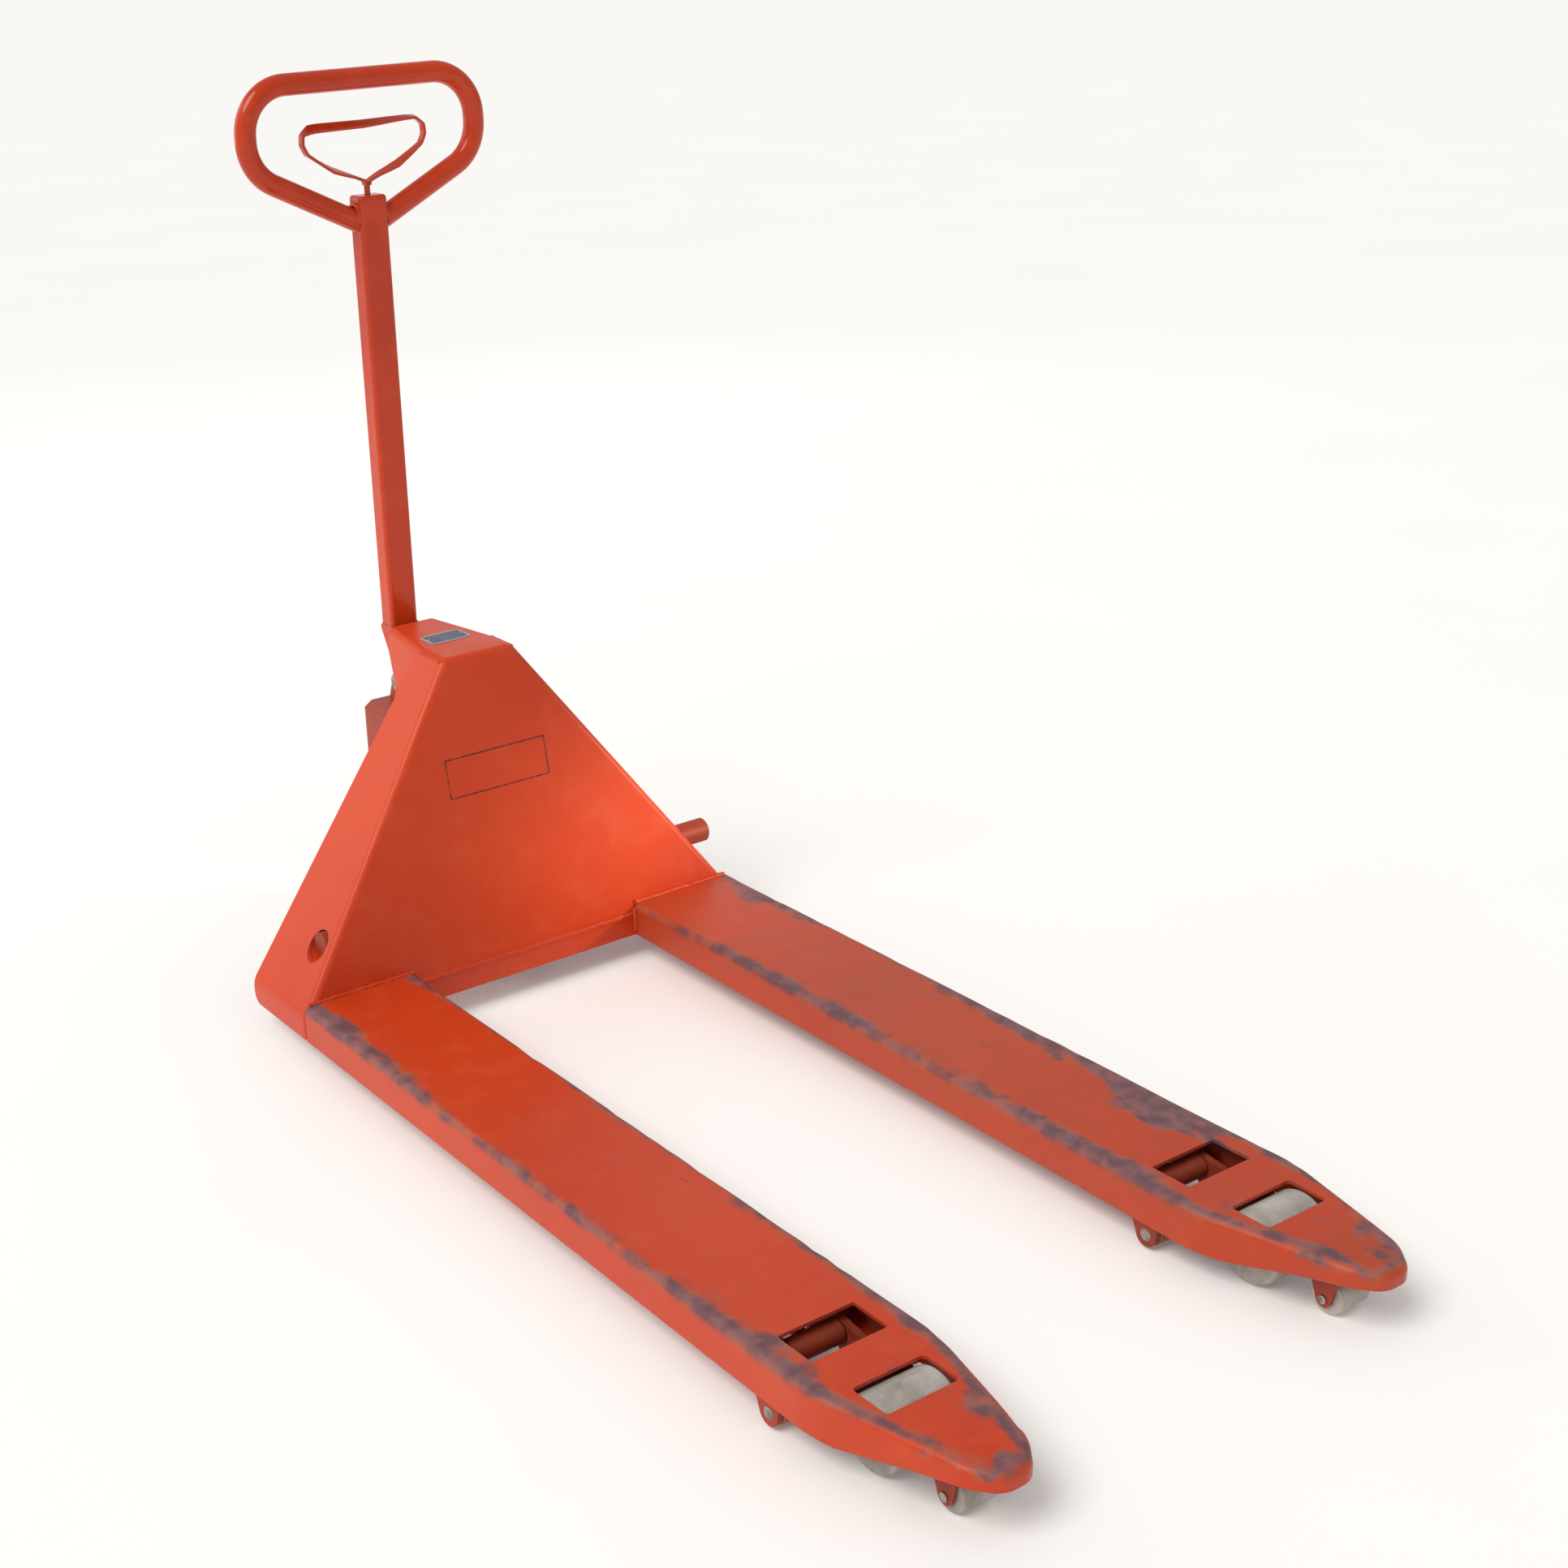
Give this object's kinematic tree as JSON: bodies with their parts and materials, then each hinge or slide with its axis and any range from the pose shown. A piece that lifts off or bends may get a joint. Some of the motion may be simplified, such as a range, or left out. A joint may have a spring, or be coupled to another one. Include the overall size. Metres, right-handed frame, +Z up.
{
  "type": "pallet jack",
  "caption": "Hand pallet truck with two long forks on small rollers, a sloping steel frame, a hydraulic pump over steered wheels and a looped tow handle.",
  "frame": {"origin": "on the floor at the middle of the outline seen from above", "axes": "+Z up, forks point towards -Y, handle at the +Y end, +X to the right of someone facing +Y"},
  "size_m": [0.685, 1.534, 1.206],
  "materials": {
    "frame_paint": "worn gloss",
    "handle_paint": "gloss",
    "pump_paint": "worn gloss",
    "steel": "machined",
    "chrome": "polished",
    "cast_hub": "machined casting",
    "nylon": "dusty satin",
    "tyre": "worn matte",
    "data_plate": "dull printed plate, blank"
  },
  "bodies": {
    "chassis": {"fork_left": "frame_paint", "fork_right": "frame_paint", "fork_ribs": "frame_paint", "frame_front": "frame_paint", "frame_side_left": "frame_paint", "frame_side_right": "frame_paint", "hood": "frame_paint", "ram_seat": "frame_paint", "label_plate": "data_plate", "shaft_bushes": "steel", "exit_brackets": "frame_paint", "link_pivot_pins": "steel", "toe_brackets": "frame_paint", "entry_roller_pins": "steel"},
    "ram": {"ram": "chrome"},
    "pump": {"pump_body": "pump_paint", "thrust_ring": "steel", "lift_cylinder": "pump_paint", "gland_nut": "steel", "filler_plugs": "steel", "release_valve": "steel", "release_lever_pin": "steel", "plunger_spring": "steel", "steer_axle": "steel", "axle_washers": "steel", "handle_pivot_pin": "steel"},
    "handle": {"handle_foot": "handle_paint", "handle_tube": "handle_paint", "grip_loop": "handle_paint", "cam_roller_pin": "steel"},
    "cam_roller": {"cam_roller": "steel"},
    "release": {"release_loop": "handle_paint", "release_rod": "steel"},
    "release_lever": {"release_lever": "steel"},
    "plunger": {"pump_plunger": "steel"},
    "collar": {"bearing_frame": "frame_paint", "bearing_frame_pins": "steel"},
    "rocker": {"rocker_shaft": "frame_paint", "rod_arms": "frame_paint", "rod_pins": "steel", "lift_arms": "frame_paint"},
    "steer_wheel_left": {"steer_hub_left": "cast_hub", "steer_tyre_left": "tyre", "steer_bearings_left": "steel"},
    "wheel_link_left": {"wheel_link_left": "frame_paint", "link_pins_left": "steel"},
    "push_rod_left": {"push_rod_left": "frame_paint"},
    "load_roller_left": {"load_roller_left": "nylon"},
    "exit_rollers_left": {"exit_rollers_left": "nylon"},
    "entry_roller_left": {"entry_roller_left": "nylon"},
    "steer_wheel_right": {"steer_hub_right": "cast_hub", "steer_tyre_right": "tyre", "steer_bearings_right": "steel"},
    "wheel_link_right": {"wheel_link_right": "frame_paint", "link_pins_right": "steel"},
    "push_rod_right": {"push_rod_right": "frame_paint"},
    "load_roller_right": {"load_roller_right": "nylon"},
    "exit_rollers_right": {"exit_rollers_right": "nylon"},
    "entry_roller_right": {"entry_roller_right": "nylon"}
  },
  "joints": [
    {"name": "steer", "type": "hinge", "parent": "chassis", "child": "ram", "pos_m": [0, 0.658, 0.3], "axis": [0, 0, 1], "range_deg": [-90, 90]},
    {"name": "lift", "type": "slide", "parent": "ram", "child": "pump", "axis": [0, 0, -1], "range_m": [0, 0.11]},
    {"name": "handle_pitch", "type": "hinge", "parent": "pump", "child": "handle", "pos_m": [0, 0.707, 0.392], "axis": [-1, 0, 0], "range_deg": [0, 68], "stiffness_Nm_per_rad": 25, "springref_deg": -17.19},
    {"name": "cam_roller_spin", "type": "hinge", "parent": "handle", "child": "cam_roller", "pos_m": [0, 0.72875, 0.4021], "axis": [1, 0, 0], "continuous": true},
    {"name": "plunger_stroke", "type": "slide", "parent": "pump", "child": "plunger", "axis": [0, 0, -1], "range_m": [0, 0.029], "deforming": ["plunger_spring"]},
    {"name": "release_squeeze", "type": "slide", "parent": "handle", "child": "release", "axis": [0, 0, 1], "range_m": [0, 0.018], "stiffness_N_per_m": 500, "springref_m": -0.01},
    {"name": "release_lever_turn", "type": "hinge", "parent": "pump", "child": "release_lever", "pos_m": [0.042, 0.715, 0.384], "axis": [-1, 0, 0], "range_deg": [0, 12]},
    {"name": "collar_travel", "type": "slide", "parent": "chassis", "child": "collar", "axis": [0, 0, -1], "range_m": [0, 0.11]},
    {"name": "rocker_turn", "type": "hinge", "parent": "chassis", "child": "rocker", "pos_m": [0, 0.503, 0.137], "axis": [-1, 0, 0], "range_deg": [0, 31.9]},
    {"name": "steer_wheel_left_spin", "type": "hinge", "parent": "pump", "child": "steer_wheel_left", "pos_m": [-0.044, 0.658, 0.09], "axis": [1, 0, 0], "continuous": true},
    {"name": "wheel_link_left_turn", "type": "hinge", "parent": "chassis", "child": "wheel_link_left", "pos_m": [-0.26, -0.503, 0.018], "axis": [1, 0, 0], "range_deg": [0, 63.8]},
    {"name": "push_rod_left_turn", "type": "hinge", "parent": "wheel_link_left", "child": "push_rod_left", "pos_m": [-0.26, -0.475, 0.052], "axis": [-1, 0, 0], "range_deg": [0, 64.2]},
    {"name": "load_roller_left_spin", "type": "hinge", "parent": "wheel_link_left", "child": "load_roller_left", "pos_m": [-0.26, -0.612, 0.04], "axis": [1, 0, 0], "continuous": true},
    {"name": "exit_rollers_left_spin", "type": "hinge", "parent": "chassis", "child": "exit_rollers_left", "pos_m": [-0.26, -0.503, 0.018], "axis": [1, 0, 0], "continuous": true},
    {"name": "entry_roller_left_spin", "type": "hinge", "parent": "chassis", "child": "entry_roller_left", "pos_m": [-0.26, -0.7, 0.02], "axis": [1, 0, 0], "continuous": true},
    {"name": "steer_wheel_right_spin", "type": "hinge", "parent": "pump", "child": "steer_wheel_right", "pos_m": [0.044, 0.658, 0.09], "axis": [1, 0, 0], "continuous": true},
    {"name": "wheel_link_right_turn", "type": "hinge", "parent": "chassis", "child": "wheel_link_right", "pos_m": [0.26, -0.503, 0.018], "axis": [1, 0, 0], "range_deg": [0, 63.8]},
    {"name": "push_rod_right_turn", "type": "hinge", "parent": "wheel_link_right", "child": "push_rod_right", "pos_m": [0.26, -0.475, 0.052], "axis": [-1, 0, 0], "range_deg": [0, 64.2]},
    {"name": "load_roller_right_spin", "type": "hinge", "parent": "wheel_link_right", "child": "load_roller_right", "pos_m": [0.26, -0.612, 0.04], "axis": [1, 0, 0], "continuous": true},
    {"name": "exit_rollers_right_spin", "type": "hinge", "parent": "chassis", "child": "exit_rollers_right", "pos_m": [0.26, -0.503, 0.018], "axis": [1, 0, 0], "continuous": true},
    {"name": "entry_roller_right_spin", "type": "hinge", "parent": "chassis", "child": "entry_roller_right", "pos_m": [0.26, -0.7, 0.02], "axis": [1, 0, 0], "continuous": true}
  ],
  "couplings": [
    {"joint": "plunger_stroke", "follows": "handle_pitch", "m_per_rad": 0.0234},
    {"joint": "release_lever_turn", "follows": "release_squeeze", "rad_per_m": 9.696},
    {"joint": "collar_travel", "follows": "lift", "ratio": 1},
    {"joint": "rocker_turn", "follows": "lift", "rad_per_m": 5.0456},
    {"joint": "wheel_link_left_turn", "follows": "lift", "rad_per_m": 10.107},
    {"joint": "push_rod_left_turn", "follows": "lift", "rad_per_m": 10.163},
    {"joint": "wheel_link_right_turn", "follows": "lift", "rad_per_m": 10.107},
    {"joint": "push_rod_right_turn", "follows": "lift", "rad_per_m": 10.163}
  ]
}
